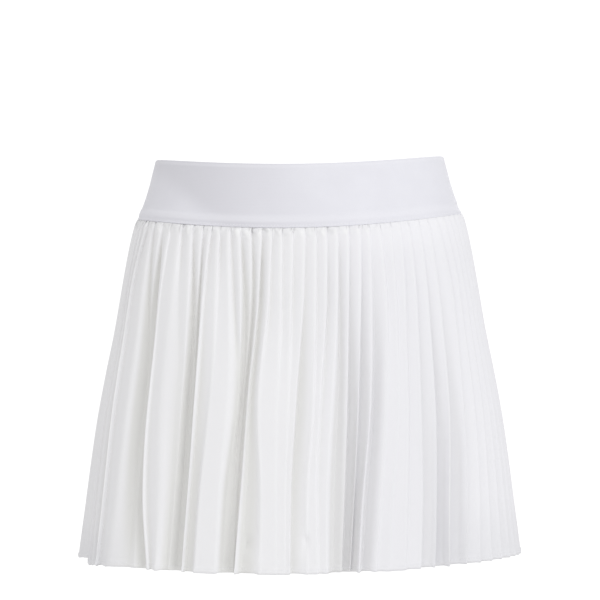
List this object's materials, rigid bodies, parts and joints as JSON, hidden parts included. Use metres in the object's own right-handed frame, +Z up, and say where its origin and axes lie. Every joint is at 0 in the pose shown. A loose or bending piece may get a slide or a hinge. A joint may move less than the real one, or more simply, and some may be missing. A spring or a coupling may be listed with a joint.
{
  "type": "tennis skirt",
  "caption": "Short knife-pleated tennis skirt with a wide elastic waistband, hollow and filled out as worn, open at the waist and the hem.",
  "frame": {"origin": "centre of the waist opening, at half the height of the waistband", "axes": "+Z up, out of the waist opening; the front faces -Y; +X is the viewer's right when seen from the front"},
  "size_m": [0.3999, 0.285, 0.3689],
  "materials": {
    "waistband_knit": "smooth white elastic knit",
    "pleated_cloth": "matt white woven cloth with pressed knife pleats"
  },
  "bodies": {
    "root": {"waistband_front": "waistband_knit", "waistband_back": "waistband_knit", "skirt_front": "pleated_cloth", "skirt_back": "pleated_cloth"}
  },
  "joints": []
}
